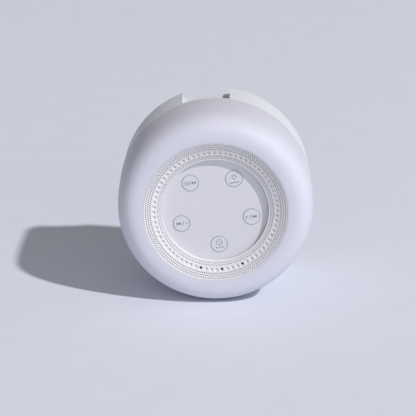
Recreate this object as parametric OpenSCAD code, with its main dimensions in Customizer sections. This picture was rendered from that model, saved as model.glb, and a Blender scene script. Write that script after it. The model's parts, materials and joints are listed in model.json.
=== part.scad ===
// White noise sound machine with a night light and a five-button keypad.
//
// A round puck that stands on four rubber feet. +Z is the way its keypad faces, +Y is the side
// with the power inlet, and the origin is the middle of the face that it stands on.
// Lengths are in millimetres.

/* [Body] */
// Diameter over the side of the body
body_d = 109.2; // [106:0.2:130]
// Height from the table to the crest of the light ring
body_h = 69.2; // [68:0.2:76]
// Height of the seam between the rear housing and the light ring, as a share of the height
seam_share = 0.426; // [0.41:0.002:0.44]
// Height at which the side of the light ring starts to curve inwards, as a share of the height
shoulder_share = 0.71; // [0.62:0.01:0.76]
// Wall of the rear housing, and its floor
housing_wall = 2.2; // [1.8:0.1:2.6]
// How much narrower the housing is at its floor than at its seam, on each side
side_taper = 0.9; // [0:0.1:1.2]
// Radius of the edge between the housing's side and its floor
housing_edge_r = 2.5; // [1:0.1:3.5]
// Height of the dark groove along the seam
seam_groove = 0.4; // [0.2:0.1:0.8]
// Height of the tongue that centres the light ring on the housing
tongue_h = 1.6; // [1:0.1:2.5]

/* [Light ring] */
// Wall of the translucent light ring
diffuser_wall = 2; // [1.6:0.1:2.4]
// Radius at which the light ring is highest
crest_r = 42; // [41.5:0.5:46]
// Roundness of its shoulder (2 is an ellipse, more is squarer)
shoulder_power = 2.8; // [2:0.1:3]

/* [Dimpled ring] */
// Outer diameter of the dimpled ring
grille_d = 79.4; // [78:0.2:82]
// Drop from the crest of the light ring to the edge of the dimpled ring
grille_edge_drop = 0.2; // [0.1:0.1:1]
// Drop of the dish from its edge to its inner lip
dish_drop = 3.8; // [3:0.1:4.4]
// Diameter of the opening inside the dimpled ring
well_d = 59; // [57:0.5:61]
// Width of the smooth lip round that opening
lip_w = 0.8; // [0.6:0.1:1]
// Thickness of the ring at its lip
lip_t = 1.6; // [1.4:0.1:2.2]
// Number of large dimples, which is also the pitch of the smaller ones
large_dimples = 72; // [48:12:72]
// Diameter of a large dimple
large_dimple_d = 2; // [1.4:0.1:2.2]
// Diameter of a small dimple
small_dimple_d = 0.9; // [0.6:0.1:1]
// Depth of the dimples
dimple_depth = 0.5; // [0.2:0.05:0.7]
// Angle between two timer lights
timer_light_step = 20; // [10:5:30]
// Diameter of the hole over a timer light
timer_hole_d = 1.5; // [1:0.1:1.8]

/* [Keypad] */
// Depth of the button plate below the lip of the dimpled ring
plate_drop = 3; // [2.6:0.1:3.6]
// Thickness of the button plate
plate_t = 2; // [1.6:0.1:2.4]
// Diameter of a button
button_d = 9.3; // [8:0.1:10.6]
// Distance from the middle to each button
button_circle_r = 20.6; // [19:0.1:21.5]
// Height of a button above its plate
button_proud = 0.2; // [0.1:0.1:0.6]
// How far a button goes in
button_travel = 0.6; // [0.3:0.1:0.7]
// Gap round a button in its hole
button_gap = 0.15; // [0.1:0.05:0.3]
// Height of the guide collar under the plate
guide_h = 1.5; // [1:0.1:2]

/* [Loudspeaker] */
// Outer diameter of the loudspeaker
speaker_d = 45; // [40:1:46]
// Height of the loudspeaker over its magnet
speaker_h = 17; // [15:0.5:18]
// Travel of the cone each way
cone_travel = 0.8; // [0.3:0.1:1]
// Width of a sound slot in the floor
slot_w = 2.4; // [1.6:0.1:3]
// Number of sound slots
slots = 7; // [3:2:7]

/* [Power inlet] */
// Width of the cable recess
recess_w = 27; // [26.6:0.2:30]
// Depth of the recess behind the round side, at its middle
recess_depth = 6.5; // [5.5:0.1:7]
// Offset of the inlet from the middle of the recess
jack_x = 10; // [8:0.2:10]
// Height of the inlet's axis
jack_h = 8; // [8:0.1:11]
// Diameter of the hole that the plug goes in
jack_hole_d = 6; // [5.8:0.1:6.6]

/* [Feet] */
// Diameter of a rubber foot
foot_d = 12; // [10:0.5:13]
// Height that a foot stands proud of the floor
foot_proud = 1; // [0.6:0.1:1.6]
// Distance from the middle to each foot
foot_circle_r = 44; // [42:0.5:45]

/* [Hidden] */

$fn = 96;
eps = 0.01;
// Gap between two pieces that are put together by hand
fit = 0.2;

// Body
body_r = body_d / 2;
seam_h = seam_share * body_h;
shoulder_h = shoulder_share * body_h;
floor_bottom = foot_proud;
floor_top = floor_bottom + housing_wall;
housing_inner_r = body_r - housing_wall;
tongue_t = housing_wall / 2 - fit / 2;
tongue_top = seam_h + tongue_h;

// Dimpled ring
grille_r = grille_d / 2;
well_r = well_d / 2;
grille_edge_z = body_h - grille_edge_drop;
lip_z = grille_edge_z - dish_drop;
grille_base_z = lip_z - lip_t;
dish_run = grille_r - well_r - lip_w;
ledge_w = 1.5;
ledge_t = 1.2;
skirt_t = 1.7;
large_row_share = 0.41;
large_row_r = well_r + lip_w + large_row_share * dish_run;
// Rows of small dimples: share of the way from the lip to the edge, small dimples to a large one
dimple_rows = [[0.21, 2], [0.64, 2]];
timer_light_middle = 270;

// Keypad
plate_z = lip_z - plate_drop;
plate_r = well_r - fit / 2;
button_r = button_d / 2;
button_angles = [54, 126, 198, 270, 342];
guide_z = plate_z - plate_t - guide_h;
guide_wall = 1.2;
flange_top = guide_z - fit;
flange_t = 1;
flange_z = flange_top - flange_t;
flange_lap = 1;
plunger_d = 3.4;
plunger_show = button_travel + 0.3;
plunger_length = 2.4;
plunger_gap = 0.1;
switch_w = 6.2;
switch_h = 3.4;
switch_top = flange_z - plunger_show;
key_board_top = switch_top - switch_h;
board_t = 1.6;
key_board_z = key_board_top - board_t;
key_board_gap = 0.4;
front_screw_r = large_row_r;
front_screw_angles = [0, 90, 180, 225];
front_boss_d = 4.4;
led_h = 0.8;
timer_pipe_gap = 0.1;
timer_pipe_sunk = 1.4;

// Inner frame
frame_lip_w = 2;
frame_wall = 2;
frame_inner_r = grille_r - frame_lip_w;
frame_outer_r = frame_inner_r + frame_wall;
frame_top_t = 2.4;
shelf_z = tongue_top + 0.6;
shelf_t = 2;
shelf_top = shelf_z + shelf_t;
shelf_r = housing_inner_r - fit;
lug_t = 2;
lug_w = 7;
lug_run = 6;
wire_hole_r = 14;
leg_d = 8;
post_top = floor_top + 6;
post_d = 9;
foot_angles = [45, 135, 225, 315];
foot_sunk = 0.8;
// Room under the head of a housing screw for the foot that covers it
head_room = 2.4;
head_seat = floor_bottom + foot_sunk + head_room;
collar_t = diffuser_wall;

// Boards
ring_board_inner_r = frame_outer_r + fit;
ring_board_w = 6;
ring_board_outer_r = ring_board_inner_r + ring_board_w;
ring_board_mid_r = (ring_board_inner_r + ring_board_outer_r) / 2;
ring_led_count = 24;
ring_led_w = 3.4;
ring_led_h = 1.4;
ring_screw_angles = [30, 120, 210, 300];
wire_slot_w = 6;
wire_slot_h = 3;
main_board_w = 54;
main_board_d = 40;
main_post_h = 3;
main_board_z = shelf_top + main_post_h;
main_board_top = main_board_z + board_t;
main_screw_x = main_board_w / 2 - 4;
main_screw_y = main_board_d / 2 - 4;
small_board_t = 1.2;
wire_socket_x = 6;
wire_socket_w = 6;
wire_socket_d = 4;
wire_socket_h = 2.6;
wire_d = 1.2;
wire_pitch = 2;

// Fasteners
housing_screw_d = 3;
housing_head_d = 5.4;
small_screw_d = 1.6;
small_head_d = 3;
clamp_head_d = 6.6;
screw_gap = 0.4;
thread_gap = 0.04;

// Power inlet
recess_y = body_r - recess_depth;
recess_inner_y = recess_y - housing_wall;
recess_roof = 1.2;
jack_w = 9;
jack_body_h = 9;
jack_length = 13;
jack_bore_d = 5.6;
jack_bore_depth = 9.5;
jack_pin_d = 2;
jack_pin_length = 8;
jack_board_z = jack_h + jack_body_h / 2;
jack_board_w = 21;
jack_board_d = 15;
jack_board_gap = 1;
jack_post_d = 4.4;
jack_screw_x = jack_board_w / 2 - 2.5;
jack_screw_length = 5;

// Loudspeaker
speaker_r = speaker_d / 2;
gasket_t = 0.8;
gasket_w = 3;
basket_z = floor_top + gasket_t;
basket_flange_t = 1.2;
basket_flange_top = basket_z + basket_flange_t;
basket_inner_r = speaker_r - gasket_w;
magnet_r = speaker_r * 0.58;
magnet_top = floor_top + speaker_h;
plate_iron_t = 1.4;
magnet_t = 4;
magnet_z = magnet_top - magnet_t - 2 * plate_iron_t;
coil_r = 6;
coil_wall = 0.3;
coil_gap = 0.3;
pole_r = coil_r - coil_wall - coil_gap;
cone_t = 0.5;
cone_edge_r = basket_inner_r - 2.6;
cone_edge_z = basket_flange_top;
cone_neck_z = magnet_z - cone_travel - 2.2;
basket_wall = 1;
wire_tag_z = basket_flange_top + 4;
wire_level_z = (magnet_top + shelf_z) / 2;
clamp_post_d = 5;
clamp_circle_r = speaker_r + fit + clamp_post_d / 2;
clamp_angles = [0, 90, 180, 270];

// Colours
white_plastic = [0.93, 0.92, 0.90];
milky_plastic = [0.87, 0.87, 0.93];
key_grey = [0.84, 0.84, 0.87];
rubber_grey = [0.32, 0.32, 0.34];
black_plastic = [0.08, 0.08, 0.09];
board_green = [0.10, 0.36, 0.20];
steel = [0.70, 0.71, 0.73];
brass = [0.80, 0.62, 0.28];
copper = [0.75, 0.42, 0.25];
paper_black = [0.13, 0.12, 0.12];
wire_red = [0.75, 0.10, 0.08];

// Points of an arc about (cx, cz) from angle a0 to a1
function arc(cx, cz, r, a0, a1, steps) =
    [for (i = [0:steps]) let (a = a0 + (a1 - a0) * i / steps) [cx + r * cos(a), cz + r * sin(a)]];

// Points of the shoulder from the side at radius r_side up to the crest at height z_top
function shoulder(r_side, z_top, steps) =
    [for (i = [0:steps]) let (a = 90 * i / steps)
        [crest_r + (r_side - crest_r) * pow(cos(a), 2 / shoulder_power),
         shoulder_h + (z_top - shoulder_h) * pow(sin(a), 2 / shoulder_power)]];

// Points of the fall from the crest to the collar's radius, dropping from z_top to z_end
function inner_fall(r_end, z_top, z_end, steps) =
    [for (i = [1:steps]) let (t = i / steps)
        [crest_r + (r_end - crest_r) * t, z_top - (z_top - z_end) * t * t]];

module at_polar(r, angles) {
    for (a = angles) rotate(a) translate([r, 0, 0]) children();
}

module ring(outer, inner, height) {
    difference() {
        cylinder(r = outer, h = height);
        translate([0, 0, -1]) cylinder(r = inner, h = height + 2);
    }
}

// A pan-head screw with its shank up and its head below z = 0, with a cross recess
module screw(d, length, head_d) {
    head_h = d * 0.6;
    difference() {
        union() {
            translate([0, 0, -head_h]) cylinder(d = head_d, h = head_h, $fn = 32);
            cylinder(d = d, h = length, $fn = 24);
        }
        for (a = [0, 90]) rotate(a) translate([-d * 0.5, -d * 0.11, -head_h - eps])
            cube([d, d * 0.22, head_h * 0.6]);
    }
}

// The same screw with its head above z = 0 and its shank down
module screw_down(d, length, head_d) {
    mirror([0, 0, 1]) screw(d, length, head_d);
}

// A hole that a screw bites into, and one that it passes through
module pilot_hole(d, depth) {
    cylinder(d = d + thread_gap, h = depth, $fn = 24);
}

module clear_hole(d, depth) {
    cylinder(d = d + screw_gap, h = depth, $fn = 24);
}

// ---------------------------------------------------------------- body

// The round cup without its inner posts
module housing_cup() {
    rotate_extrude($fn = 180) polygon(concat(
        [[0, floor_bottom]],
        arc(body_r - side_taper - housing_edge_r, floor_bottom + housing_edge_r, housing_edge_r,
            -90, 0, 8),
        [[body_r, seam_h],
         [housing_inner_r + tongue_t, seam_h],
         [housing_inner_r + tongue_t, tongue_top],
         [housing_inner_r, tongue_top],
         [housing_inner_r - side_taper, floor_top],
         [0, floor_top]]));
}

// Flat wall behind the cable recess, which closes the cup where the recess cuts it
module recess_wall() {
    intersection() {
        translate([-recess_w / 2 - housing_wall, recess_inner_y, floor_bottom])
            cube([recess_w + 2 * housing_wall, body_r, seam_h - floor_bottom]);
        translate([0, 0, floor_bottom])
            cylinder(r1 = housing_inner_r - side_taper, r2 = housing_inner_r + eps,
                     h = seam_h - floor_bottom, $fn = 180);
    }
}

// Posts for the screws that come up through the floor, and for the speaker and inlet board
module housing_posts() {
    at_polar(foot_circle_r, foot_angles) translate([0, 0, floor_bottom])
        cylinder(d = post_d, h = post_top - floor_bottom);
    at_polar(clamp_circle_r, clamp_angles) translate([0, 0, floor_bottom])
        cylinder(d = clamp_post_d, h = basket_flange_top - floor_bottom);
    for (s = [-1, 1]) translate([jack_x + s * jack_screw_x, jack_board_y(), floor_bottom])
        cylinder(d = jack_post_d, h = jack_board_z - floor_bottom);
}

// Middle of the inlet board, which stops short of the recess wall
function jack_board_y() = recess_inner_y - jack_board_gap - jack_board_d / 2;

// Room under each foot for the foot itself, the screw's head and its shank
module foot_screw_hole() {
    translate([0, 0, -1]) cylinder(d = foot_d + fit, h = floor_bottom + foot_sunk + 1);
    translate([0, 0, -1]) cylinder(d = housing_head_d + 2 * fit, h = head_seat + 1);
    clear_hole(housing_screw_d, post_top + 1);
}

module sound_slots() {
    pitch = 2 * (basket_inner_r - 2) / slots;
    for (i = [0:slots - 1]) {
        x = (i - (slots - 1) / 2) * pitch;
        half = sqrt(pow(basket_inner_r - 1.5, 2) - x * x) - slot_w / 2;
        translate([x, 0, 0]) linear_extrude(floor_top + 1) union() {
            square([slot_w, 2 * half], center = true);
            for (s = [-1, 1]) translate([0, s * half]) circle(d = slot_w, $fn = 24);
        }
    }
}

module rear_housing() {
    color(white_plastic) difference() {
        union() {
            housing_cup();
            recess_wall();
            housing_posts();
        }
        translate([-recess_w / 2, recess_y, -1]) cube([recess_w, body_r, seam_h - recess_roof + 1]);
        translate([jack_x, recess_y + 1, jack_h]) rotate([90, 0, 0])
            cylinder(d = jack_hole_d, h = housing_wall + 2, $fn = 48);
        at_polar(foot_circle_r, foot_angles) foot_screw_hole();
        at_polar(clamp_circle_r, clamp_angles) translate([0, 0, floor_top])
            pilot_hole(small_screw_d, speaker_h);
        for (s = [-1, 1])
            translate([jack_x + s * jack_screw_x, jack_board_y(),
                       jack_board_z + small_board_t - jack_screw_length - fit / 2])
                pilot_hole(small_screw_d, jack_screw_length);
        sound_slots();
    }
}

module rubber_feet() {
    bevel = 0.3;
    height = foot_proud + foot_sunk;
    color(rubber_grey) at_polar(foot_circle_r, foot_angles) rotate_extrude()
        polygon([[0, 0], [foot_d / 2 - bevel, 0], [foot_d / 2, bevel], [foot_d / 2, height],
                 [0, height]]);
}

module housing_screws() {
    color(steel) at_polar(foot_circle_r, foot_angles) translate([0, 0, head_seat])
        screw(housing_screw_d, 10, housing_head_d);
}

// Tube that carries the face, with a shelf for the light board and legs down to the housing
module inner_frame() {
    lug_z = key_board_z - lug_t;
    color(white_plastic) difference() {
        union() {
            rotate_extrude($fn = 144) polygon([
                [wire_hole_r, shelf_z], [shelf_r, shelf_z], [shelf_r, shelf_top],
                [frame_outer_r, shelf_top], [frame_outer_r, grille_base_z - frame_top_t],
                [grille_r + fit + collar_t, grille_base_z - frame_top_t],
                [grille_r + fit + collar_t, grille_base_z], [frame_inner_r, grille_base_z],
                [frame_inner_r, shelf_top], [wire_hole_r, shelf_top]]);
            at_polar(foot_circle_r, foot_angles) translate([0, 0, post_top])
                cylinder(d = leg_d, h = shelf_z - post_top + eps);
            at_polar(frame_inner_r - lug_run, front_screw_angles)
                translate([0, -lug_w / 2, lug_z]) cube([lug_run + 1, lug_w, lug_t]);
            for (x = [-1, 1], y = [-1, 1])
                translate([x * main_screw_x, y * main_screw_y, shelf_top - eps])
                    cylinder(d = 5, h = main_post_h + eps);
        }
        at_polar(foot_circle_r, foot_angles) translate([0, 0, post_top - 1])
            pilot_hole(housing_screw_d, 12);
        at_polar(front_screw_r, front_screw_angles) translate([0, 0, lug_z - 1])
            clear_hole(small_screw_d, lug_t + 2);
        for (x = [-1, 1], y = [-1, 1])
            translate([x * main_screw_x, y * main_screw_y, shelf_z + 0.8])
                pilot_hole(small_screw_d, 10);
        at_polar(ring_board_mid_r, ring_screw_angles) translate([0, 0, shelf_z - 1])
            pilot_hole(small_screw_d, 10);
        translate([-frame_outer_r - 1, -wire_slot_w / 2, shelf_top + board_t])
            cube([frame_wall + 2, wire_slot_w, wire_slot_h]);
    }
}

// Translucent ring: straight side, rounded shoulder, and a collar that seats on the frame
module diffuser() {
    collar_r = grille_r + fit;
    collar_inner_r = collar_r + collar_t;
    lap_z = tongue_top + fit;
    color(milky_plastic) rotate_extrude($fn = 180) polygon(concat(
        [[body_r, seam_h + seam_groove]],
        shoulder(body_r, body_h, 28),
        inner_fall(collar_r, body_h, grille_edge_z, 8),
        [[collar_r, grille_base_z], [collar_inner_r, grille_base_z],
         [collar_inner_r, grille_edge_z - diffuser_wall]],
        [for (i = [1:5]) let (t = i / 6)
            [collar_inner_r + (crest_r - collar_inner_r) * t,
             grille_edge_z - diffuser_wall + grille_edge_drop * (1 - (1 - t) * (1 - t))]],
        [for (i = [20:-1:0]) shoulder(body_r - diffuser_wall, body_h - diffuser_wall, 20)[i]],
        [[body_r - diffuser_wall, lap_z], [housing_inner_r + tongue_t + fit, lap_z],
         [housing_inner_r + tongue_t + fit, seam_h + seam_groove]]));
}

// ---------------------------------------------------------------- dimpled ring

function dish_z(r) = lip_z + dish_drop * (r - well_r - lip_w) / dish_run;

// One row of small blind dimples that follow the dish
module dimple_row(r, count, d) {
    for (i = [0:count - 1]) rotate((i + 0.5) * 360 / count)
        translate([r, 0, dish_z(r) - dimple_depth]) cylinder(d = d, h = 5, $fn = 13);
}

module timer_places() {
    for (i = [-1:1]) rotate(timer_light_middle + i * timer_light_step)
        translate([large_row_r, 0, 0]) children();
}

module grille_ring() {
    skirt_z = plate_z - plate_t - ledge_t;
    lip_edge = 0.5;
    color(white_plastic) difference() {
        union() {
            rotate_extrude($fn = 180) polygon(concat(
                [[well_r, skirt_z + ledge_t], [well_r - ledge_w, skirt_z + ledge_t],
                 [well_r - ledge_w, skirt_z], [well_r + skirt_t, skirt_z],
                 [well_r + skirt_t, grille_base_z], [grille_r, grille_base_z]],
                [[grille_r, grille_edge_z], [well_r + lip_w, lip_z]],
                arc(well_r + lip_edge, lip_z - lip_edge, lip_edge, 90, 180, 4)));
            at_polar(front_screw_r, front_screw_angles) translate([0, 0, key_board_top])
                cylinder(d = front_boss_d, h = grille_base_z - key_board_top + 0.2, $fn = 32);
        }
        at_polar(front_screw_r, front_screw_angles) translate([0, 0, key_board_top - 1])
            pilot_hole(small_screw_d, 8);
        timer_places() translate([0, 0, key_board_top])
            cylinder(d = timer_hole_d, h = body_h - key_board_top, $fn = 24);
        for (i = [0:large_dimples - 1]) rotate(i * 360 / large_dimples)
            translate([large_row_r, 0, dish_z(large_row_r) - dimple_depth])
                cylinder(d = large_dimple_d, h = 5, $fn = 16);
        for (row = dimple_rows)
            dimple_row(well_r + lip_w + row[0] * dish_run, large_dimples * row[1], small_dimple_d);
    }
}

// ---------------------------------------------------------------- keypad

module button_plate() {
    color(key_grey) difference() {
        union() {
            translate([0, 0, plate_z - plate_t]) cylinder(r = plate_r, h = plate_t, $fn = 144);
            at_polar(button_circle_r, button_angles) translate([0, 0, guide_z])
                cylinder(r = button_r + button_gap + guide_wall, h = guide_h + eps);
        }
        at_polar(button_circle_r, button_angles) translate([0, 0, guide_z - 1])
            cylinder(r = button_r + button_gap, h = guide_h + plate_t + 2, $fn = 72);
    }
}

// A cap with a rounded top edge and a flange that the guide collar holds in
module button(index) {
    edge = 0.15;
    top = plate_z + button_proud;
    color(key_grey) at_polar(button_circle_r, [button_angles[index]]) rotate_extrude($fn = 72)
        polygon(concat([[0, flange_z], [button_r + flange_lap, flange_z],
                        [button_r + flange_lap, flange_top], [button_r, flange_top]],
                       arc(button_r - edge, top - edge, edge, 0, 90, 5),
                       [[0, top]]));
}

// Plunger of one push switch, which travels with its button
module plunger(index) {
    color(black_plastic) at_polar(button_circle_r, [button_angles[index]])
        translate([0, 0, flange_z - plunger_length]) cylinder(d = plunger_d, h = plunger_length, $fn = 32);
}

module button_light() { button(0); }
module button_power() { button(1); }
module button_previous() { button(2); }
module button_timer() { button(3); }
module button_next() { button(4); }
module plunger_light() { plunger(0); }
module plunger_power() { plunger(1); }
module plunger_previous() { plunger(2); }
module plunger_timer() { plunger(3); }
module plunger_next() { plunger(4); }

module switch_bodies() {
    hole_z = flange_z - plunger_length - button_travel - 0.2;
    color(steel) at_polar(button_circle_r, button_angles) difference() {
        translate([-switch_w / 2, -switch_w / 2, key_board_top]) cube([switch_w, switch_w, switch_h]);
        translate([0, 0, hole_z]) cylinder(d = plunger_d + 2 * plunger_gap, h = 10, $fn = 32);
    }
}

module key_board() {
    color(board_green) difference() {
        translate([0, 0, key_board_z]) cylinder(r = frame_inner_r - key_board_gap, h = board_t, $fn = 144);
        at_polar(front_screw_r, front_screw_angles) translate([0, 0, key_board_z - 1])
            clear_hole(small_screw_d, board_t + 2);
    }
}

module front_screws() {
    color(steel) at_polar(front_screw_r, front_screw_angles)
        translate([0, 0, key_board_z - lug_t]) screw(small_screw_d, 8, small_head_d);
}

module timer_light_pipes() {
    bottom = key_board_top + led_h;
    top = dish_z(large_row_r) - timer_pipe_sunk;
    color(milky_plastic) timer_places() translate([0, 0, bottom])
        cylinder(d = timer_hole_d - 2 * timer_pipe_gap, h = top - bottom, $fn = 24);
}

module timer_leds() {
    color(brass) timer_places() translate([-1, -0.6, key_board_top]) cube([2, 1.2, led_h]);
}

// ---------------------------------------------------------------- boards

socket_w = 10;
socket_d = 5;
socket_h = 3;
socket_y = -6;

module keypad_socket() {
    color(black_plastic) translate([-socket_w / 2, socket_y - socket_d / 2, key_board_z - socket_h])
        cube([socket_w, socket_d, socket_h]);
    color(black_plastic) translate([-socket_w / 2, socket_y - socket_d / 2, main_board_top])
        cube([socket_w, socket_d, socket_h]);
}

// Flat cable that runs straight down from the key board to the main board
module keypad_ribbon() {
    ribbon_t = 0.3;
    bottom = main_board_top + socket_h;
    color(white_plastic) translate([-socket_w / 2 + 1, socket_y - ribbon_t / 2, bottom])
        cube([socket_w - 2, ribbon_t, key_board_z - socket_h - bottom]);
}

module led_ring_board() {
    color(white_plastic) difference() {
        translate([0, 0, shelf_top]) ring(ring_board_outer_r, ring_board_inner_r, board_t, $fn = 144);
        at_polar(ring_board_mid_r, ring_screw_angles) translate([0, 0, shelf_top - 1])
            clear_hole(small_screw_d, board_t + 2);
    }
}

module ring_leds() {
    color(brass) for (i = [0:ring_led_count - 1]) rotate((i + 0.5) * 360 / ring_led_count)
        translate([ring_board_mid_r - ring_led_w / 2, -ring_led_w / 2, shelf_top + board_t])
            cube([ring_led_w, ring_led_w, ring_led_h]);
}

module ring_board_screws() {
    color(steel) at_polar(ring_board_mid_r, ring_screw_angles)
        translate([0, 0, shelf_top + board_t]) screw_down(small_screw_d, 3.4, small_head_d);
}

module main_board() {
    corner = 2;
    color(board_green) difference() {
        translate([0, 0, main_board_z]) linear_extrude(board_t) union() {
            square([main_board_w - 2 * corner, main_board_d], center = true);
            square([main_board_w, main_board_d - 2 * corner], center = true);
            for (x = [-1, 1], y = [-1, 1])
                translate([x * (main_board_w / 2 - corner), y * (main_board_d / 2 - corner)])
                    circle(r = corner, $fn = 24);
        }
        for (x = [-1, 1], y = [-1, 1]) translate([x * main_screw_x, y * main_screw_y, main_board_z - 1])
            clear_hole(small_screw_d, board_t + 2);
    }
}

module main_board_screws() {
    color(steel) for (x = [-1, 1], y = [-1, 1])
        translate([x * main_screw_x, y * main_screw_y, main_board_top])
            screw_down(small_screw_d, 4, small_head_d);
}

// The sound chip, its memory and the amplifier
module control_chips() {
    chips = [[0, 6, 10, 10, 1.6], [14, 4, 5, 6, 1.5], [-14, 6, 8, 6, 1.8]];
    color(black_plastic) for (c = chips) translate([c[0] - c[2] / 2, c[1] - c[3] / 2, main_board_top])
        cube([c[2], c[3], c[4]]);
}

module capacitors() {
    cans = [[-17, -9, 6.3, 7], [-9, -14, 5, 5.4], [20, -7, 6.3, 7]];
    color(steel) for (c = cans) translate([c[0], c[1], main_board_top])
        cylinder(d = c[2], h = c[3], $fn = 32);
}

// Sockets for the wires: speaker and power under the board, the light ring on top of it
module wire_sockets() {
    color(white_plastic) for (x = [-wire_socket_x, jack_x])
        translate([x - wire_socket_w / 2, -wire_socket_d / 2, main_board_z - wire_socket_h])
            cube([wire_socket_w, wire_socket_d, wire_socket_h]);
    color(white_plastic) translate([-main_board_w / 2 + 0.5, -wire_socket_w / 2, main_board_top])
        cube([wire_socket_d, wire_socket_w, wire_socket_h]);
}

// A round wire along a row of points
module wire(points) {
    for (i = [0:len(points) - 2]) {
        step = points[i + 1] - points[i];
        run = norm(step);
        translate(points[i]) rotate([0, acos(step[2] / run), atan2(step[1], step[0])])
            cylinder(d = wire_d, h = run, $fn = 16);
    }
    for (i = [1:len(points) - 2]) translate(points[i]) sphere(d = wire_d, $fn = 16);
}

module dc_jack() {
    color(black_plastic) translate([jack_x, recess_inner_y, jack_h]) rotate([90, 0, 0]) difference() {
        translate([-jack_w / 2, -jack_body_h / 2, 0]) cube([jack_w, jack_body_h, jack_length]);
        translate([0, 0, -1]) cylinder(d = jack_bore_d, h = jack_bore_depth + 1, $fn = 48);
    }
}

module dc_jack_pin() {
    tip = jack_bore_depth - jack_pin_length;
    color(brass) translate([jack_x, recess_inner_y - tip, jack_h]) rotate([90, 0, 0]) union() {
        translate([0, 0, jack_pin_d / 2])
            cylinder(d = jack_pin_d, h = jack_pin_length - jack_pin_d / 2, $fn = 32);
        translate([0, 0, jack_pin_d / 2]) sphere(d = jack_pin_d, $fn = 32);
    }
}

module jack_board() {
    color(board_green) difference() {
        translate([jack_x - jack_board_w / 2, jack_board_y() - jack_board_d / 2, jack_board_z])
            cube([jack_board_w, jack_board_d, small_board_t]);
        for (s = [-1, 1]) translate([jack_x + s * jack_screw_x, jack_board_y(), jack_board_z - 1])
            clear_hole(small_screw_d, small_board_t + 2);
    }
}

module jack_board_screws() {
    color(steel) for (s = [-1, 1])
        translate([jack_x + s * jack_screw_x, jack_board_y(), jack_board_z + small_board_t])
            screw_down(small_screw_d, jack_screw_length, small_head_d);
}

// Two leads from the inlet board up past the magnet to the middle of the main board
module power_wires() {
    start_y = recess_inner_y - jack_length - 1;
    color(wire_red) for (s = [-1, 1]) wire([
        [jack_x + s * wire_pitch / 2, start_y, jack_board_z + small_board_t],
        [jack_x + s * wire_pitch / 2, start_y, wire_level_z],
        [jack_x + s * wire_pitch / 2, 0, wire_level_z],
        [jack_x + s * wire_pitch / 2, 0, main_board_z - wire_socket_h]]);
}

// Two leads from the loudspeaker's basket over its magnet to the middle of the main board
module speaker_wires() {
    color(black_plastic) for (s = [-1, 1]) wire([
        [-basket_side_r(wire_tag_z) - wire_d, s * wire_pitch / 2, wire_tag_z],
        [-basket_side_r(wire_tag_z) - wire_d, s * wire_pitch / 2, wire_level_z],
        [-wire_socket_x, s * wire_pitch / 2, wire_level_z],
        [-wire_socket_x, s * wire_pitch / 2, main_board_z - wire_socket_h]]);
}

// Two leads from the light board through the slot in the frame to the top of the main board
module ring_wires() {
    start_x = -ring_board_inner_r - 2;
    edge_x = -main_board_w / 2 - 2;
    low_z = shelf_top + board_t + 1.2;
    high_z = main_board_top + wire_socket_h / 2;
    color(wire_red) for (s = [-1, 1]) wire([
        [start_x, s * wire_pitch / 2, shelf_top + board_t],
        [start_x, s * wire_pitch / 2, low_z],
        [edge_x, s * wire_pitch / 2, low_z],
        [edge_x, s * wire_pitch / 2, high_z],
        [-main_board_w / 2 + 0.5, s * wire_pitch / 2, high_z]]);
}

// ---------------------------------------------------------------- loudspeaker

module speaker_gasket() {
    color(paper_black) translate([0, 0, floor_top]) ring(speaker_r, basket_inner_r, gasket_t);
}

// Radius of the basket's outer side at a height
function basket_side_r(z) = basket_inner_r + basket_wall - (basket_inner_r + basket_wall - magnet_r)
    * (z - basket_flange_top) / (magnet_z - basket_wall - basket_flange_top);

module speaker_basket() {
    window_w = 9;
    window_z = basket_flange_top + 1.2;
    throat_r = coil_r + 1.5;
    color(steel) difference() {
        rotate_extrude() polygon([
            [basket_inner_r, basket_z], [speaker_r, basket_z], [speaker_r, basket_flange_top],
            [basket_inner_r + basket_wall, basket_flange_top], [magnet_r, magnet_z - basket_wall],
            [magnet_r, magnet_z], [throat_r, magnet_z], [throat_r, magnet_z - basket_wall],
            [magnet_r - basket_wall, magnet_z - basket_wall],
            [basket_inner_r, basket_flange_top]]);
        for (a = [45, 135, 225, 315]) rotate(a)
            translate([magnet_r - 0.2, -window_w / 2, window_z])
                cube([speaker_r, window_w, magnet_z - basket_wall - 0.8 - window_z]);
    }
}

// Front plate, ring magnet, back plate and pole piece
module speaker_magnet() {
    color(steel) difference() {
        union() {
            translate([0, 0, magnet_z]) cylinder(r = magnet_r - 1, h = plate_iron_t);
            translate([0, 0, magnet_z + plate_iron_t]) cylinder(r = magnet_r, h = magnet_t);
            translate([0, 0, magnet_top - plate_iron_t]) cylinder(r = magnet_r - 1, h = plate_iron_t);
        }
        translate([0, 0, magnet_z - 1])
            ring(coil_r + coil_gap, pole_r, 1 + plate_iron_t + magnet_t);
    }
}

module speaker_surround() {
    roll_r = (basket_inner_r - cone_edge_r - 0.3) / 2;
    roll_t = 0.4;
    color(rubber_grey) translate([0, 0, cone_edge_z]) rotate_extrude() intersection() {
        difference() {
            translate([basket_inner_r - roll_r, 0]) circle(r = roll_r, $fn = 48);
            translate([basket_inner_r - roll_r, 0]) circle(r = roll_r - roll_t, $fn = 48);
        }
        translate([0, -speaker_r]) square([speaker_r, speaker_r]);
    }
}

module speaker_cone() {
    color(paper_black) rotate_extrude() polygon([
        [coil_r + 0.05, cone_neck_z], [cone_edge_r, cone_edge_z],
        [cone_edge_r, cone_edge_z + cone_t], [coil_r + 0.05, cone_neck_z + cone_t]]);
}

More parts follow.
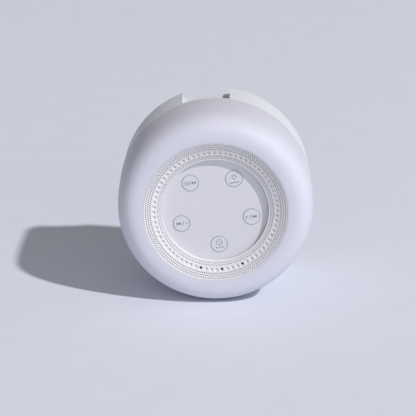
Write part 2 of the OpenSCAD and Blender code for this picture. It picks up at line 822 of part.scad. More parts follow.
module speaker_dust_cap() {
    cap_r = coil_r - 0.1;
    cap_rise = 1.6;
    sphere_r = (cap_r * cap_r + cap_rise * cap_rise) / (2 * cap_rise);
    color(paper_black) translate([0, 0, cone_neck_z]) intersection() {
        translate([0, 0, sphere_r - cap_rise]) difference() {
            sphere(r = sphere_r);
            sphere(r = sphere_r - 0.4);
        }
        translate([0, 0, -cap_rise - 1]) cylinder(r = cap_r, h = cap_rise + 1);
    }
}

module voice_coil() {
    color(copper) translate([0, 0, cone_neck_z])
        ring(coil_r, coil_r - coil_wall, magnet_z + plate_iron_t + 1 - cone_neck_z);
}

module speaker_spider() {
    spider_t = 0.3;
    color(brass) translate([0, 0, magnet_z - basket_wall - spider_t])
        ring(magnet_r - basket_wall - 0.4, coil_r + 0.5, spider_t);
}

module speaker_screws() {
    color(steel) at_polar(clamp_circle_r, clamp_angles) translate([0, 0, basket_flange_top])
        screw_down(small_screw_d, basket_flange_top - floor_top - 0.1, clamp_head_d);
}

rear_housing();
rubber_feet();
housing_screws();
inner_frame();
diffuser();
grille_ring();
button_plate();
button_light();
button_power();
button_previous();
button_timer();
button_next();
plunger_light();
plunger_power();
plunger_previous();
plunger_timer();
plunger_next();
switch_bodies();
key_board();
front_screws();
timer_light_pipes();
timer_leds();
keypad_socket();
keypad_ribbon();
led_ring_board();
ring_leds();
ring_board_screws();
main_board();
main_board_screws();
control_chips();
capacitors();
wire_sockets();
ring_wires();
dc_jack();
dc_jack_pin();
jack_board();
jack_board_screws();
power_wires();
speaker_gasket();
speaker_basket();
speaker_magnet();
speaker_surround();
speaker_cone();
speaker_dust_cap();
voice_coil();
speaker_spider();
speaker_screws();
speaker_wires();
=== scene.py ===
# %% [markdown]
# A white noise sound machine, dressed around its packed construction. The machine is a round
# puck: a cool white housing, a milky light ring, and a sunken face with a dimpled ring and five
# push buttons. The construction comes in as a fixed frame, in metres, with +Z the way the keypad
# faces and +Y the side of the power inlet. Every new piece is modelled at its own place in it.

# %% Load the frame and clear the selection
import bpy
import json
import math
from mathutils import Matrix, Vector


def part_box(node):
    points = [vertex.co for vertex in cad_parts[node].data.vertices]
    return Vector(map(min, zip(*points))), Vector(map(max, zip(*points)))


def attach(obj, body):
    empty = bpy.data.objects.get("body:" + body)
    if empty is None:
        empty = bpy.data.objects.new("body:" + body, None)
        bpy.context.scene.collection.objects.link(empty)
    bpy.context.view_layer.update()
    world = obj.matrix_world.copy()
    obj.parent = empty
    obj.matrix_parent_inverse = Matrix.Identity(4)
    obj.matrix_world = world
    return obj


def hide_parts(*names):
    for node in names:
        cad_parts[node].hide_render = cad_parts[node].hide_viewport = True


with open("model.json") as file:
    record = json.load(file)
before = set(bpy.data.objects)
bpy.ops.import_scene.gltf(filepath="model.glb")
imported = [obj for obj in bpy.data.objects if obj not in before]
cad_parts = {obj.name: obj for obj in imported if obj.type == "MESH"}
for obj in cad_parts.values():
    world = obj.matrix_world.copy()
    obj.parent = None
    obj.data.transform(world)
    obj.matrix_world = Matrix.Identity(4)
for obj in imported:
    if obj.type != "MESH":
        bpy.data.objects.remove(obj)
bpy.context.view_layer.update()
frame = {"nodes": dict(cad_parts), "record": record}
bpy.ops.object.select_all(action='DESELECT')
MM = 0.001

# %% [markdown]
# The sizes that the pieces share are read from the frame's own boxes, so that a piece always
# meets the solids beside it. The few that a box can't tell, such as the radius of the crest, are
# the same real sizes that the construction uses.

# %% Sizes from the frame
BODY_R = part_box("diffuser")[1][0]
CREST_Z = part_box("diffuser")[1][2]
DIFFUSER_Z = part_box("diffuser")[0][2]
SEAM_GROOVE = 0.4 * MM
SEAM_Z = DIFFUSER_Z - SEAM_GROOVE
GRILLE_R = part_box("grille_ring")[1][0]
GRILLE_EDGE_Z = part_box("grille_ring")[1][2]
PLATE_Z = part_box("button_plate")[1][2]
PLATE_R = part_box("button_plate")[1][0]
BUTTON_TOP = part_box("button_power")[1][2]
print("body radius %.4f, crest %.4f, seam %.4f, plate %.4f" % (BODY_R, CREST_Z, SEAM_Z, PLATE_Z))

# %% [markdown]
# The camera stands where the photographer's did: above the face and a little to one side, a long
# lens 1.2 m away. In the photograph the machine stands on its rim, turned a few degrees, so the
# camera is turned the other way, and the floor leans against the rim. The offset says how far the
# camera is from the middle of the face, to the right, up and away, before it is turned.

# %% Camera
CAMERA_DISTANCE = 1.214
CAMERA_TILT = math.radians(18.83)
CAMERA_YAW = math.radians(0.62)
FACE_ROLL = math.radians(6.24)
SENSOR = 36.0
FOCAL_PIXELS = 2200
IMAGE_PIXELS = 416
AIM_OFFSET = Vector((-4.02 * MM, 2.86 * MM, CAMERA_DISTANCE))
CLIP_FAR = 20

camera_turn = (Matrix.Rotation(-FACE_ROLL, 4, 'Z') @ Matrix.Rotation(CAMERA_YAW, 4, 'Y')
               @ Matrix.Rotation(-CAMERA_TILT, 4, 'X'))
face_middle = Vector((0, 0, GRILLE_EDGE_Z))
camera_place = face_middle + camera_turn @ AIM_OFFSET
bpy.ops.object.camera_add(location=camera_place, rotation=camera_turn.to_euler())
camera = bpy.context.object
camera.data.sensor_width = SENSOR
camera.data.lens = FOCAL_PIXELS / IMAGE_PIXELS * SENSOR
camera.data.clip_end = CLIP_FAR
bpy.context.scene.camera = camera
print("camera at", camera_place[:], "lens %.1f mm" % camera.data.lens)

# %% [markdown]
# One small bright lamp, 12 m away up and to the right, gives the crisp shadow, and from that far
# it lights the whole floor almost evenly. A broad soft light from the camera's side and an even
# pale room fill the shadows.

# %% Lamps and floor
FLOOR_SIZE = 8.0
KEY_DISTANCE = 12.0
KEY_POWER = 4350.0
KEY_RADIUS = 0.24
FILL_STRENGTH = 1.2
FILL_ANGLE = math.radians(70)
ROOM_STRENGTH = 0.275
ROOM_COLOR = (0.96, 0.94, 1.0, 1)
to_key = Vector((0.946, 0.900, 0.64)).normalized()
to_fill = Vector((0.35, -0.1, 1)).normalized()
floor_up = Vector((math.sin(FACE_ROLL), math.cos(FACE_ROLL), 0))

bpy.ops.object.light_add(type='POINT', location=to_key * KEY_DISTANCE)
key_lamp = bpy.context.object
key_lamp.name = "key_lamp"
key_lamp.data.energy = KEY_POWER
key_lamp.data.shadow_soft_size = KEY_RADIUS

bpy.ops.object.light_add(type='SUN', location=to_fill,
                         rotation=to_fill.to_track_quat('Z', 'Y').to_euler())
fill_lamp = bpy.context.object
fill_lamp.name = "fill_lamp"
fill_lamp.data.energy = FILL_STRENGTH
fill_lamp.data.angle = FILL_ANGLE

world = bpy.data.worlds.new("pale_room")
bpy.context.scene.world = world
world.use_nodes = True
background = world.node_tree.nodes["Background"]
background.inputs["Color"].default_value = ROOM_COLOR
background.inputs["Strength"].default_value = ROOM_STRENGTH

bpy.ops.mesh.primitive_plane_add(size=FLOOR_SIZE, location=-floor_up * BODY_R,
                                 rotation=floor_up.to_track_quat('Z', 'X').to_euler())
floor = bpy.context.object
floor.name = "studio_floor"
bpy.context.scene.view_settings.view_transform = 'Standard'
print("lamps and floor", key_lamp.name, fill_lamp.name, floor.name)

# %% [markdown]
# Every finish here is a plastic, a metal or a painted ink, and real ones are never one flat
# colour. One shader group gives them all a fine moulded grain, a slow drift of tone and a slight
# change of gloss, from the piece's own coordinates in metres, so the grain stays at its real size.

# %% Helpers for shader nodes
def add_group_socket(group, name, kind, direction, value=None):
    socket = group.interface.new_socket(name=name, in_out=direction, socket_type=kind)
    if value is not None:
        socket.default_value = value


def link(tree, source, target):
    tree.links.new(source, target)


def feed(tree, value, target):
    # An input takes either the output of another node or a plain number
    if isinstance(value, bpy.types.NodeSocket):
        link(tree, value, target)
    else:
        target.default_value = value


def add_noise(tree, coords, scale, detail):
    noise = tree.nodes.new("ShaderNodeTexNoise")
    link(tree, coords, noise.inputs["Vector"])
    feed(tree, scale, noise.inputs["Scale"])
    feed(tree, detail, noise.inputs["Detail"])
    return noise.outputs["Fac"]


def add_math(tree, operation, *values):
    node = tree.nodes.new("ShaderNodeMath")
    node.operation = operation
    for value, target in zip(values, node.inputs):
        feed(tree, value, target)
    return node.outputs["Value"]


def add_range(tree, value, from_min, from_max, to_min, to_max, clamp=True):
    node = tree.nodes.new("ShaderNodeMapRange")
    node.clamp = clamp
    for name, limit in (("Value", value), ("From Min", from_min), ("From Max", from_max),
                        ("To Min", to_min), ("To Max", to_max)):
        feed(tree, limit, node.inputs[name])
    return node.outputs["Result"]


def add_shade(tree, color, factor):
    node = tree.nodes.new("ShaderNodeVectorMath")
    node.operation = 'SCALE'
    feed(tree, color, node.inputs["Vector"])
    feed(tree, factor, node.inputs["Scale"])
    return node.outputs["Vector"]


# %% The moulded grain, as one shader group
TONE_DRIFT = 0.03
GLOSS_DRIFT = 0.06
DRIFT_SCALE = 45.0
DRIFT_DETAIL = 3.0
DRIFT_LOW = 0.3
DRIFT_HIGH = 0.7
GRAIN_SCALE = 2500.0
GRAIN_DETAIL = 2.0
GRAIN_ROUGHNESS = 0.45


def make_grain_group():
    group = bpy.data.node_groups.new("moulded_grain", "ShaderNodeTree")
    add_group_socket(group, "Color", "NodeSocketColor", "INPUT")
    for name, value in (("Tone Drift", TONE_DRIFT), ("Roughness", GRAIN_ROUGHNESS),
                        ("Gloss Drift", GLOSS_DRIFT), ("Grain Scale", GRAIN_SCALE)):
        add_group_socket(group, name, "NodeSocketFloat", "INPUT", value)
    add_group_socket(group, "Color", "NodeSocketColor", "OUTPUT")
    add_group_socket(group, "Roughness", "NodeSocketFloat", "OUTPUT")
    add_group_socket(group, "Height", "NodeSocketFloat", "OUTPUT")
    given = group.nodes.new("NodeGroupInput").outputs
    result = group.nodes.new("NodeGroupOutput").inputs
    coords = group.nodes.new("ShaderNodeTexCoord").outputs["Object"]

    drift = add_noise(group, coords, DRIFT_SCALE, DRIFT_DETAIL)
    tone = add_range(group, drift, DRIFT_LOW, DRIFT_HIGH, 0.0, 1.0)
    darker = add_math(group, 'MULTIPLY', tone, given["Tone Drift"])
    keep = add_math(group, 'SUBTRACT', 1.0, darker)
    gloss = add_math(group, 'MULTIPLY_ADD', drift, given["Gloss Drift"], given["Roughness"])
    grain = add_noise(group, coords, given["Grain Scale"], GRAIN_DETAIL)
    link(group, add_shade(group, given["Color"], keep), result["Color"])
    link(group, gloss, result["Roughness"])
    link(group, grain, result["Height"])
    return group


GRAIN = make_grain_group()
print("shader group", GRAIN.name)


# %% [markdown]
# A material is a Principled shader fed by the grain group. Values that are the same all over a
# surface, such as how metallic it is or how far light goes in, are set on the shader itself.

# %% Make one finish
BUMP_HEIGHT = 0.05 * MM


def make_finish(name, color, roughness, grain_scale=GRAIN_SCALE, grain_bump=0.15,
                tone_drift=TONE_DRIFT):
    material = bpy.data.materials.new(name)
    material.use_nodes = True
    tree = material.node_tree
    shader = tree.nodes["Principled BSDF"]
    grain = tree.nodes.new("ShaderNodeGroup")
    grain.node_tree = GRAIN
    grain.inputs["Color"].default_value = (*color, 1)
    grain.inputs["Tone Drift"].default_value = tone_drift
    grain.inputs["Roughness"].default_value = roughness
    grain.inputs["Grain Scale"].default_value = grain_scale
    bump = tree.nodes.new("ShaderNodeBump")
    bump.inputs["Strength"].default_value = grain_bump
    bump.inputs["Distance"].default_value = BUMP_HEIGHT
    link(tree, grain.outputs["Color"], shader.inputs["Base Color"])
    link(tree, grain.outputs["Roughness"], shader.inputs["Roughness"])
    link(tree, grain.outputs["Height"], bump.inputs["Height"])
    link(tree, bump.outputs["Normal"], shader.inputs["Normal"])
    return material


def shader_of(material):
    return material.node_tree.nodes["Principled BSDF"]


# %% [markdown]
# The plastics. The light ring is a milky plastic: some light goes in and comes out again a few
# millimetres away, which softens its shading, so it gets subsurface scattering. The inlet gets a
# dull black of its own, as hardly any light comes back out of the recess.

# %% Plastics, rubber and ink
housing_finish = make_finish("housing_plastic_finish", (0.80, 0.81, 0.86), 0.5)
ring_finish = make_finish("dimpled_ring_finish", (0.73, 0.72, 0.755), 0.55, grain_scale=3500.0)
key_finish = make_finish("keypad_plastic_finish", (0.66, 0.66, 0.71), 0.5)
ink_finish = make_finish("printed_ink_finish", (0.17, 0.19, 0.31), 0.55, tone_drift=0.15)
outline_finish = make_finish("outline_ink_finish", (0.44, 0.47, 0.58), 0.55, tone_drift=0.1)
rubber_finish = make_finish("foot_rubber_finish", (0.035, 0.035, 0.038), 0.8, grain_scale=1500.0,
                            grain_bump=0.5, tone_drift=0.2)
black_finish = make_finish("black_plastic_finish", (0.012, 0.012, 0.014), 0.4, tone_drift=0.2)
socket_finish = make_finish("inlet_plastic_finish", (0.006, 0.006, 0.007), 0.7, tone_drift=0.2)
shader_of(socket_finish).inputs["Specular IOR Level"].default_value = 0.1
# The light pipes get a near-black finish. This is painted shade that makes the deep timer holes
# look dark.
pipe_shade_finish = make_finish("pipe_painted_shade_finish", (0.01, 0.01, 0.012), 0.2, tone_drift=0.1)
milky_finish = make_finish("milky_ring_finish", (0.67, 0.67, 0.77), 0.55, grain_bump=0.05)
milky = shader_of(milky_finish)
milky.inputs["Specular IOR Level"].default_value = 0.3
milky.inputs["Subsurface Weight"].default_value = 0.5
milky.inputs["Subsurface Radius"].default_value = (1.0, 0.9, 1.1)
milky.inputs["Subsurface Scale"].default_value = 4 * MM
print("milky finish", milky_finish.name)

# %% Metals, boards and paper of the inner parts
steel_finish = make_finish("zinc_steel_finish", (0.55, 0.56, 0.58), 0.3, grain_scale=900.0)
aluminium_finish = make_finish("can_aluminium_finish", (0.78, 0.78, 0.79), 0.28)
brass_finish = make_finish("brass_finish", (0.78, 0.56, 0.22), 0.28, grain_scale=900.0)
for metal in (steel_finish, aluminium_finish, brass_finish):
    shader_of(metal).inputs["Metallic"].default_value = 1.0
board_finish = make_finish("board_mask_finish", (0.02, 0.13, 0.05), 0.35, grain_scale=500.0,
                           tone_drift=0.35)
white_board_finish = make_finish("white_laminate_finish", (0.78, 0.78, 0.77), 0.45)
led_finish = make_finish("lamp_phosphor_finish", (0.80, 0.62, 0.12), 0.3, tone_drift=0.1)
paper_finish = make_finish("speaker_paper_finish", (0.02, 0.02, 0.02), 0.85, grain_scale=700.0,
                           grain_bump=0.8, tone_drift=0.4)
red_wire_finish = make_finish("red_wire_finish", (0.5, 0.02, 0.015), 0.4)
black_wire_finish = make_finish("black_wire_finish", (0.02, 0.02, 0.02), 0.4)
print(len(bpy.data.materials), "finishes made")

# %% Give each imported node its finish
FINISHES = {
    "housing_plastic": housing_finish, "ring_plastic": ring_finish,
    "diffuser_plastic": milky_finish, "key_plastic": key_finish,
    "foot_rubber": rubber_finish, "screw_steel": steel_finish, "black_plastic": black_finish,
    "board_laminate": board_finish, "white_laminate": white_board_finish,
    "led_package": led_finish, "can_aluminium": aluminium_finish,
    "contact_brass": brass_finish, "speaker_paper": paper_finish,
    "red_wire": red_wire_finish, "black_wire": black_wire_finish,
}


def paint(name, finish):
    for material_slot in frame["nodes"][name].material_slots:
        material_slot.material = finish


for part in frame["record"]["subparts"]:
    paint(part["node"], FINISHES[part["material_slot"]])
paint("timer_light_pipes", pipe_shade_finish)
paint("dc_jack", socket_finish)
print(len(frame["nodes"]), "nodes have a finish")

# %% [markdown]
# The studio floor shows the photograph's pale blue-grey. Its back is clear, so that a view from
# below or behind it looks through.

# %% Floor finish
floor_finish = make_finish("studio_floor_finish", (0.75, 0.78, 0.865), 0.9, grain_scale=3.0,
                           grain_bump=0.0, tone_drift=0.02)
floor_tree = floor_finish.node_tree
clear = floor_tree.nodes.new("ShaderNodeBsdfTransparent")
back_side = floor_tree.nodes.new("ShaderNodeNewGeometry")
show = floor_tree.nodes.new("ShaderNodeMixShader")
link(floor_tree, back_side.outputs["Backfacing"], show.inputs["Fac"])
link(floor_tree, shader_of(floor_finish).outputs["BSDF"], show.inputs[1])
link(floor_tree, clear.outputs["BSDF"], show.inputs[2])
link(floor_tree, show.outputs["Shader"], floor_tree.nodes["Material Output"].inputs["Surface"])
floor.data.materials.append(floor_finish)
print("floor finish", floor_finish.name)


# %% [markdown]
# Round pieces are turned, as on a lathe: one vertex is drawn out along the profile, and the
# profile is spun round the machine's axis. The doubles at the seam and the poles are merged, and
# then the faces are turned outwards.

# %% Helpers for modelling
MERGE_GAP = 0.001 * MM


def start_vertex(name, place):
    bpy.ops.object.select_all(action='DESELECT')
    bpy.ops.mesh.primitive_plane_add(size=MM)
    piece = bpy.context.object
    piece.name = name
    bpy.ops.object.mode_set(mode='EDIT')
    bpy.ops.mesh.merge(type='CENTER')
    bpy.ops.transform.translate(value=place)
    return piece


def turn_profile(name, profile, steps, closed=True):
    points = [Vector((r, 0, z)) for r, z in profile]
    if closed:
        points.append(points[0])
    piece = start_vertex(name, points[0])
    for here, there in zip(points, points[1:]):
        bpy.ops.mesh.extrude_region_move(TRANSFORM_OT_translate={"value": there - here})
    bpy.ops.mesh.select_all(action='SELECT')
    bpy.ops.mesh.remove_doubles(threshold=MERGE_GAP)
    bpy.ops.mesh.spin(steps=steps, angle=2 * math.pi, center=(0, 0, 0), axis=(0, 0, 1))
    bpy.ops.mesh.select_all(action='SELECT')
    bpy.ops.mesh.remove_doubles(threshold=MERGE_GAP)
    bpy.ops.mesh.normals_make_consistent(inside=False)
    bpy.ops.object.mode_set(mode='OBJECT')
    return piece


def finish_piece(piece, body, material, smooth_angle=30, replaces=None):
    bpy.ops.object.select_all(action='DESELECT')
    piece.select_set(True)
    bpy.context.view_layer.objects.active = piece
    bpy.ops.object.transform_apply(location=True, rotation=True, scale=True)
    bpy.ops.object.shade_smooth_by_angle(angle=math.radians(smooth_angle))
    piece.data.materials.clear()
    piece.data.materials.append(material)
    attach(piece, body)
    if replaces:
        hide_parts(replaces)
    print(piece.name, len(piece.data.polygons), "faces")


def arc_points(cx, cz, radius, start, end, steps):
    turns = [math.radians(start + (end - start) * i / steps) for i in range(steps + 1)]
    return [(cx + radius * math.cos(a), cz + radius * math.sin(a)) for a in turns]


# %% [markdown]
# The light ring. Its side is straight, its shoulder is a superellipse, and it falls a little
# from its crest to the dimpled ring. The construction has the same curve in coarser steps, so
# the smooth one replaces it. The two rims get a small round, which catches the light. Inside the
# lower rim is a lap that clears the housing's tongue.

# %% Light ring
CREST_R = 42 * MM
SHOULDER_Z = 49.1 * MM
SHOULDER_POWER = 2.8
DIFFUSER_WALL = 2 * MM
RIM_ROUND = 0.2 * MM
COLLAR_R = GRILLE_R + 0.05 * MM
COLLAR_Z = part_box("inner_frame")[1][2]
LAP_R = BODY_R - 1 * MM
LAP_Z = SEAM_Z + 1.7 * MM
TURN_STEPS = 256
SHOULDER_STEPS = 48
FALL_STEPS = 6
RIM_STEPS = 4


def shoulder_points(side_r, top_z, steps):
    points = []
    for i in range(steps + 1):
        a = math.radians(90 * i / steps)
        points.append((CREST_R + (side_r - CREST_R) * math.cos(a) ** (2 / SHOULDER_POWER),
                       SHOULDER_Z + (top_z - SHOULDER_Z) * math.sin(a) ** (2 / SHOULDER_POWER)))
    return points


def fall_points(end_r, top_z, end_z, steps):
    shares = [i / steps for i in range(1, steps + 1)]
    return [(CREST_R + (end_r - CREST_R) * t, top_z - (top_z - end_z) * t * t) for t in shares]


inner_side_r = BODY_R - DIFFUSER_WALL
inner_crest_z = CREST_Z - DIFFUSER_WALL
inner_shoulder = shoulder_points(inner_side_r, inner_crest_z, SHOULDER_STEPS // 2)
inner_shoulder.reverse()
ring_profile = arc_points(BODY_R - RIM_ROUND, DIFFUSER_Z + RIM_ROUND, RIM_ROUND, -90, 0,
                          RIM_STEPS)
ring_profile += shoulder_points(BODY_R, CREST_Z, SHOULDER_STEPS)
ring_profile += fall_points(COLLAR_R + RIM_ROUND, CREST_Z, GRILLE_EDGE_Z, FALL_STEPS)
ring_profile += [(COLLAR_R, GRILLE_EDGE_Z - RIM_ROUND), (COLLAR_R, COLLAR_Z),
                 (COLLAR_R + DIFFUSER_WALL, COLLAR_Z),
                 (COLLAR_R + DIFFUSER_WALL, GRILLE_EDGE_Z - DIFFUSER_WALL)]
ring_profile += inner_shoulder
ring_profile += [(inner_side_r, LAP_Z), (LAP_R, LAP_Z), (LAP_R, DIFFUSER_Z)]
light_ring = turn_profile("light_ring", ring_profile, TURN_STEPS)
finish_piece(light_ring, "case", milky_finish, replaces="diffuser")

# %% [markdown]
# The dimpled ring is the piece that takes the most skill. A flat grid is bent into one ten-degree
# slice of the dish, with a bowl sunk at each dimple, and the slice is spun round in copies. The
# dimples follow the photograph: one row of large ones, and finer rows on both sides. The lip is
# narrower than in the construction, 0.5 mm instead of 0.8 mm, so that the inner rows reach it.

# %% Dimpled ring
PLATE_GAP = 0.1 * MM
WELL_R = PLATE_R + PLATE_GAP
LIP_W = 0.5 * MM
LIP_ROUND = 0.45 * MM
DISH_DROP = 3.92 * MM
LIP_Z = GRILLE_EDGE_Z - DISH_DROP
LIP_R = WELL_R + LIP_W
DISH_RUN = GRILLE_R - LIP_R
SLICES = 36
SLICE_ANGLE = 2 * math.pi / SLICES
# Cells along the radius, and cells round one slice: a whole number for 2, 4 or 5 dimples, so that
# every dimple of a row has the same facets
GRID_ALONG = 52
GRID_ACROSS = 40
GRID_MERGE_GAP = 0.005 * MM
# The higher the power, the steeper the side of a dimple and the flatter its bottom
BOWL_POWER = 3
LARGE_ROW_R = 34.15 * MM
LARGE_D = 2.0 * MM
# Each row: radius, dimples in one slice, diameter, depth, and shift in shares of the pitch
DIMPLE_ROWS = [
    (30.75 * MM, 4, 0.8 * MM, 0.7 * MM, 0.5),
    (31.95 * MM, 4, 0.85 * MM, 0.85 * MM, 0.0),
    (LARGE_ROW_R, 2, LARGE_D, 1.1 * MM, 0.0),
    (36.25 * MM, 5, 0.85 * MM, 0.9 * MM, 0.0),
    (37.5 * MM, 5, 0.85 * MM, 0.9 * MM, 0.5),
    (38.75 * MM, 5, 0.85 * MM, 0.9 * MM, 0.0),
]


def dish_height(r):
    return LIP_Z + DISH_DROP * (r - LIP_R) / DISH_RUN


def dimple_at(r, angle):
    for row_r, count, diameter, depth, shift in DIMPLE_ROWS:
        pitch = SLICE_ANGLE / count
        if abs(r - row_r) > diameter / 2:
            continue
        turns = angle / pitch - shift
        away = (turns - round(turns)) * pitch * row_r
        share = min(1.0, math.hypot(away, r - row_r) / (diameter / 2))
        return depth * (1 - share ** BOWL_POWER)
    return 0.0


bpy.ops.object.select_all(action='DESELECT')
bpy.ops.mesh.primitive_grid_add(x_subdivisions=GRID_ALONG, y_subdivisions=GRID_ACROSS, size=1)
dimpled_ring = bpy.context.object
dimpled_ring.name = "dimpled_ring"
for vertex in dimpled_ring.data.vertices:
    r = LIP_R + DISH_RUN * (vertex.co.x + 0.5)
    angle = SLICE_ANGLE * (vertex.co.y + 0.5)
    vertex.co = (r * math.cos(angle), r * math.sin(angle), dish_height(r) - dimple_at(r, angle))
bpy.ops.object.mode_set(mode='EDIT')
bpy.ops.mesh.select_all(action='SELECT')
bpy.ops.mesh.spin(steps=SLICES, dupli=True, angle=2 * math.pi, center=(0, 0, 0), axis=(0, 0, 1))
bpy.ops.mesh.select_all(action='SELECT')
bpy.ops.mesh.remove_doubles(threshold=GRID_MERGE_GAP)
bpy.ops.object.mode_set(mode='OBJECT')
print("dimpled slice spun", len(dimpled_ring.data.polygons))

# %% [markdown]
# The back of the ring follows the construction: a skirt goes down round the plate and ends in a
# ledge that carries it.

# %% The ring's lip, wall and back, joined to the dish
PLATE_T = 2 * MM
LEDGE_T = 1.2 * MM
LEDGE_W = 1.5 * MM
SKIRT_T = 1.7 * MM
LIP_STEPS = 6
SKIRT_Z = PLATE_Z - PLATE_T - LEDGE_T
LEDGE_R = WELL_R - LEDGE_W
SKIRT_R = WELL_R + SKIRT_T
back_profile = [(LIP_R, LIP_Z)]
back_profile += arc_points(WELL_R + LIP_ROUND, LIP_Z - LIP_ROUND, LIP_ROUND, 90, 180, LIP_STEPS)
back_profile += [(WELL_R, SKIRT_Z + LEDGE_T), (LEDGE_R, SKIRT_Z + LEDGE_T), (LEDGE_R, SKIRT_Z),
                 (SKIRT_R, SKIRT_Z), (SKIRT_R, COLLAR_Z),
                 (GRILLE_R, COLLAR_Z), (GRILLE_R, GRILLE_EDGE_Z)]
ring_back = turn_profile("ring_back", back_profile, SLICES * GRID_ACROSS, closed=False)
bpy.ops.object.select_all(action='DESELECT')
ring_back.select_set(True)
dimpled_ring.select_set(True)
bpy.context.view_layer.objects.active = dimpled_ring
bpy.ops.object.join()
bpy.ops.object.mode_set(mode='EDIT')
bpy.ops.mesh.select_all(action='SELECT')
bpy.ops.mesh.remove_doubles(threshold=GRID_MERGE_GAP)
bpy.ops.mesh.normals_make_consistent(inside=False)
bpy.ops.object.mode_set(mode='OBJECT')
print("dish and back joined", len(dimpled_ring.data.polygons))

# %% Three small holes for the timer lights, in the place of large dimples
HOLE_R = 0.75 * MM
HOLE_SIDES = 32
CUTTER_LENGTH = 16 * MM
TIMER_ANGLES = [250, 270, 290]
for degrees in TIMER_ANGLES:
    place = Matrix.Rotation(math.radians(degrees), 4, 'Z') @ Vector((LARGE_ROW_R, 0, LIP_Z))
    bpy.ops.mesh.primitive_cylinder_add(vertices=HOLE_SIDES, radius=HOLE_R, depth=CUTTER_LENGTH,
                                        location=place)
    cutter = bpy.context.object
    bpy.context.view_layer.objects.active = dimpled_ring
    cut = dimpled_ring.modifiers.new("timer_hole", 'BOOLEAN')
    cut.operation = 'DIFFERENCE'
    cut.solver = 'MANIFOLD'
    cut.object = cutter
    bpy.ops.object.modifier_apply(modifier="timer_hole")
    bpy.data.objects.remove(cutter)
finish_piece(dimpled_ring, "case", ring_finish, 60, replaces="grille_ring")

# %% [markdown]
# The bottoms of the small dimples are darker than the land between them, as little light gets
# that deep. A group finds how far a point lies below the dish, from the piece's own coordinates,
# and makes the colour darker there. It leaves out the lip and the row of large dimples.

# %% Darker bottoms of the dimples
SHADE_FROM = 0.2 * MM
SHADE_TO = 0.75 * MM
SHADE_LEAST = 0.55
LIP_MARGIN = 0.02 * MM
LARGE_HALF = LARGE_D / 2 + 0.05 * MM


def make_depth_group():
    group = bpy.data.node_groups.new("dimple_shade", "ShaderNodeTree")
    add_group_socket(group, "Color", "NodeSocketColor", "INPUT")
    add_group_socket(group, "Color", "NodeSocketColor", "OUTPUT")
    given = group.nodes.new("NodeGroupInput").outputs
    result = group.nodes.new("NodeGroupOutput").inputs
    place = group.nodes.new("ShaderNodeSeparateXYZ")
    link(group, group.nodes.new("ShaderNodeTexCoord").outputs["Object"], place.inputs["Vector"])
    flat = group.nodes.new("ShaderNodeCombineXYZ")
    link(group, place.outputs["X"], flat.inputs["X"])
    link(group, place.outputs["Y"], flat.inputs["Y"])
    length = group.nodes.new("ShaderNodeVectorMath")
    length.operation = 'LENGTH'
    link(group, flat.outputs["Vector"], length.inputs[0])
    radius = length.outputs["Value"]

    dish = add_range(group, radius, LIP_R, GRILLE_R, LIP_Z, GRILLE_EDGE_Z, clamp=False)
    depth = add_math(group, 'SUBTRACT', dish, place.outputs["Z"])
    on_dish = add_math(group, 'GREATER_THAN', radius, LIP_R + LIP_MARGIN)
    on_large = add_math(group, 'COMPARE', radius, LARGE_ROW_R, LARGE_HALF)
    on_small = add_math(group, 'SUBTRACT', on_dish, on_large)
    sunk = add_math(group, 'MULTIPLY', depth, on_small)
    keep = add_range(group, sunk, SHADE_FROM, SHADE_TO, 1.0, SHADE_LEAST)
    link(group, add_shade(group, given["Color"], keep), result["Color"])
    return group


ring_tree = ring_finish.node_tree
depth_shade = ring_tree.nodes.new("ShaderNodeGroup")
depth_shade.node_tree = make_depth_group()
ring_color = shader_of(ring_finish).inputs["Base Color"]
link(ring_tree, ring_color.links[0].from_socket, depth_shade.inputs["Color"])
link(ring_tree, depth_shade.outputs["Color"], ring_color)
print("dimples shaded below %.4f m" % SHADE_FROM)

# %% [markdown]
# The icons are printed in thin blue-grey ink. Each is made of low rounded strokes and flat shapes
# that stand a hair above its button, and rides with that button. Their places and sizes are in
# millimetres from the middle of the button, and one scale brings all the icons to the size in the
# photograph. The photograph has a small word under two of the icons: a row of three dots and a
# brightness wedge stand in for them.

# %% Helpers for ink
INK_WIDTH = 0.3 * MM
INK_HEIGHT = 0.03 * MM
INK_ROUNDING = 2
ICON_SCALE = 1.15
KEY_CIRCLE_R = 20.6 * MM
KEY_ANGLES = {"light": 54, "power": 126, "previous": 198, "timer": 270, "next": 342}


def key_middle(key):
    angle = math.radians(KEY_ANGLES[key])
    return Vector((KEY_CIRCLE_R * math.cos(angle), KEY_CIRCLE_R * math.sin(angle), BUTTON_TOP))


def squash_ink(piece):
    squeeze = 2 * INK_HEIGHT / INK_WIDTH
    bpy.ops.object.mode_set(mode='EDIT')
    bpy.ops.mesh.select_all(action='SELECT')
    bpy.ops.transform.resize(value=(1, 1, squeeze), center_override=(0, 0, BUTTON_TOP))
    bpy.ops.object.mode_set(mode='OBJECT')


def ink_stroke(key, points):
    middle = key_middle(key)
    spots = [middle + ICON_SCALE * MM * Vector((x, y, 0)) for x, y in points]
    start_vertex("stroke", spots[0])
    for here, there in zip(spots, spots[1:]):
        bpy.ops.mesh.extrude_region_move(TRANSFORM_OT_translate={"value": there - here})
    bpy.ops.object.mode_set(mode='OBJECT')
    bpy.ops.object.convert(target='CURVE')
    stroke = bpy.context.object
    stroke.data.bevel_depth = INK_WIDTH / 2
    stroke.data.bevel_resolution = INK_ROUNDING
    stroke.data.use_fill_caps = True
    bpy.ops.object.convert(target='MESH')
    stroke = bpy.context.object
    squash_ink(stroke)
    return stroke


def ink_arc(key, x, y, radius, start, end, steps=20):
    return ink_stroke(key, arc_points(x, y, radius, start, end, steps))


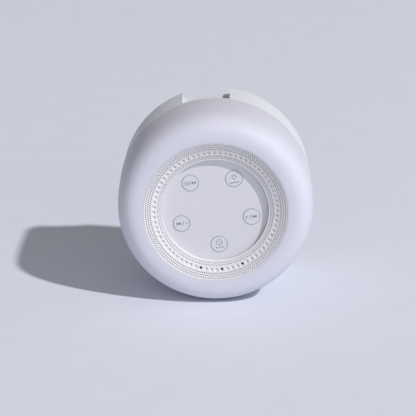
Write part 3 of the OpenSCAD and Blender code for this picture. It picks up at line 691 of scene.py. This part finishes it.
def ink_block(key, x, y, width, height, sides=4, turn=45):
    place = key_middle(key) + ICON_SCALE * MM * Vector((x, y, 0))
    wide = ICON_SCALE * MM * width
    high = ICON_SCALE * MM * height
    bpy.ops.mesh.primitive_cylinder_add(vertices=sides, radius=MM / 2, depth=2 * INK_HEIGHT,
                                        location=place, rotation=(0, 0, math.radians(turn)))
    block = bpy.context.object
    bpy.ops.object.transform_apply(location=False, rotation=True, scale=True)
    size = block.dimensions
    block.scale = (wide / size.x, high / size.y, 1)
    bpy.ops.object.transform_apply(location=True, rotation=True, scale=True)
    return block


def finish_ink(key, shapes):
    bpy.ops.object.select_all(action='DESELECT')
    for shape in shapes:
        shape.select_set(True)
    bpy.context.view_layer.objects.active = shapes[0]
    bpy.ops.object.join()
    ink = bpy.context.object
    ink.name = "ink_" + key
    finish_piece(ink, key + "_key", ink_finish)


# %% Power and play, next and plus, previous and minus
def skip_shapes(key, x, way):
    # Two triangles and a bar, which point to the right for way 1 and to the left for way -1
    point = 90 if way < 0 else -90
    return [ink_block(key, x, 0, 1.1, 1.5, 3, point),
            ink_block(key, x + way, 0, 1.1, 1.5, 3, point),
            ink_block(key, x + 1.75 * way, 0, 0.22, 1.5)]


finish_ink("power", [
    ink_arc("power", -1.9, -0.1, 0.85, 125, 415), ink_stroke("power", [(-1.9, 0.0), (-1.9, 1.05)]),
    ink_stroke("power", [(-0.7, -0.9), (-0.05, 1.0)]),
    ink_block("power", 1.0, 0, 1.2, 1.6, 3, -90),
    ink_block("power", 1.95, 0, 0.28, 1.5), ink_block("power", 2.5, 0, 0.28, 1.5)])
finish_ink("next", [
    ink_stroke("next", [(-3.0, 0), (-1.8, 0)]), ink_stroke("next", [(-2.4, -0.6), (-2.4, 0.6)]),
    ink_stroke("next", [(-1.1, -0.9), (-0.45, 1.0)])] + skip_shapes("next", 0.7, 1))
finish_ink("previous", [
    ink_stroke("previous", [(1.8, 0), (3.0, 0)]),
    ink_stroke("previous", [(0.5, -0.9), (1.15, 1.0)])] + skip_shapes("previous", -0.7, -1))

# %% Lamp with rays and a brightness wedge, clock with three dots
rays = [(math.cos(math.radians(a)), math.sin(math.radians(a))) for a in (0, 45, 90, 135, 180)]
finish_ink("light", [
    ink_arc("light", 0, 0.9, 0.8, -60, 240), ink_block("light", 0, -0.2, 0.8, 0.35)]
    + [ink_stroke("light", [(1.3 * x, 0.9 + 1.3 * y), (1.9 * x, 0.9 + 1.9 * y)])
       for x, y in rays]
    + [ink_stroke("light", [(-2.3, -2.1), (2.3, -1.3), (2.3, -2.1), (-2.3, -2.1)])])
finish_ink("timer", [
    ink_arc("timer", 0, 0.9, 1.4, 0, 360, 32),
    ink_stroke("timer", [(0, 1.7), (0, 0.9), (0.6, 0.5)])]
    + [ink_block("timer", x, -1.7, 0.75, 0.75, 16, 0) for x in (-1.5, 0, 1.5)])

# %% [markdown]
# The photograph shows a thin blue-grey line round every button, stronger than the gap alone would
# be, so a flat ring of pale ink goes just inside the edge of each button and rides with it.

# %% The printed outline of every key
OUTLINE_IN = 4.35 * MM
OUTLINE_OUT = 4.6 * MM
OUTLINE_STEPS = 64
outline_profile = [(OUTLINE_IN, 0), (OUTLINE_OUT, 0), (OUTLINE_OUT, INK_HEIGHT),
                   (OUTLINE_IN, INK_HEIGHT)]
for key in KEY_ANGLES:
    outline = turn_profile("outline_" + key, outline_profile, OUTLINE_STEPS)
    outline.location = key_middle(key)
    finish_piece(outline, key + "_key", outline_finish)
